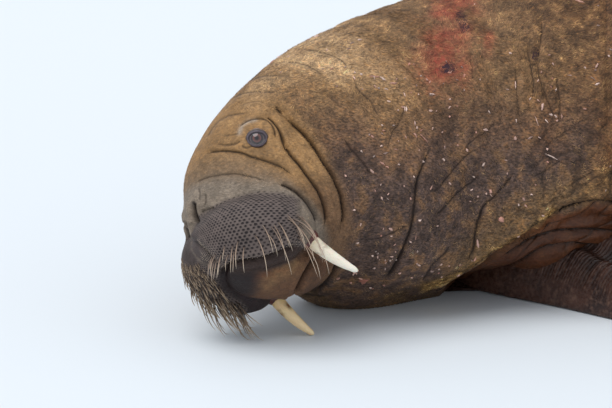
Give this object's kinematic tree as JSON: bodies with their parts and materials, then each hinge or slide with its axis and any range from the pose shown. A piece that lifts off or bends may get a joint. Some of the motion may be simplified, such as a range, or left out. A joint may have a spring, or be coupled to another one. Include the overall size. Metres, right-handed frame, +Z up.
{
  "type": "walrus",
  "caption": "Still, life-size model of a young walrus lying on its belly with its head turned to its left, with short tusks and whisker pads.",
  "frame": {"origin": "middle of the model's box, on the floor it lies on", "axes": "+X towards the tail, -X towards the nose, -Y towards the animal's left side, +Z up"},
  "size_m": [2.2228, 1.1376, 0.4885],
  "materials": {
    "hide": "matte",
    "pad": "matte",
    "lip": "satin",
    "ivory": "satin",
    "eye": "gloss",
    "flipper": "matte"
  },
  "bodies": {
    "root": {"head": "hide", "neck": "hide", "chest": "hide", "belly": "hide", "rump": "hide", "tail": "hide", "whisker_pad_left": "pad", "whisker_pad_right": "pad", "lower_jaw": "lip", "tusk_left": "ivory", "tusk_right": "ivory", "eye_left": "eye", "eye_right": "eye", "fore_flipper_left": "flipper", "fore_flipper_right": "flipper", "hind_flipper_left": "flipper", "hind_flipper_right": "flipper"}
  },
  "joints": []
}
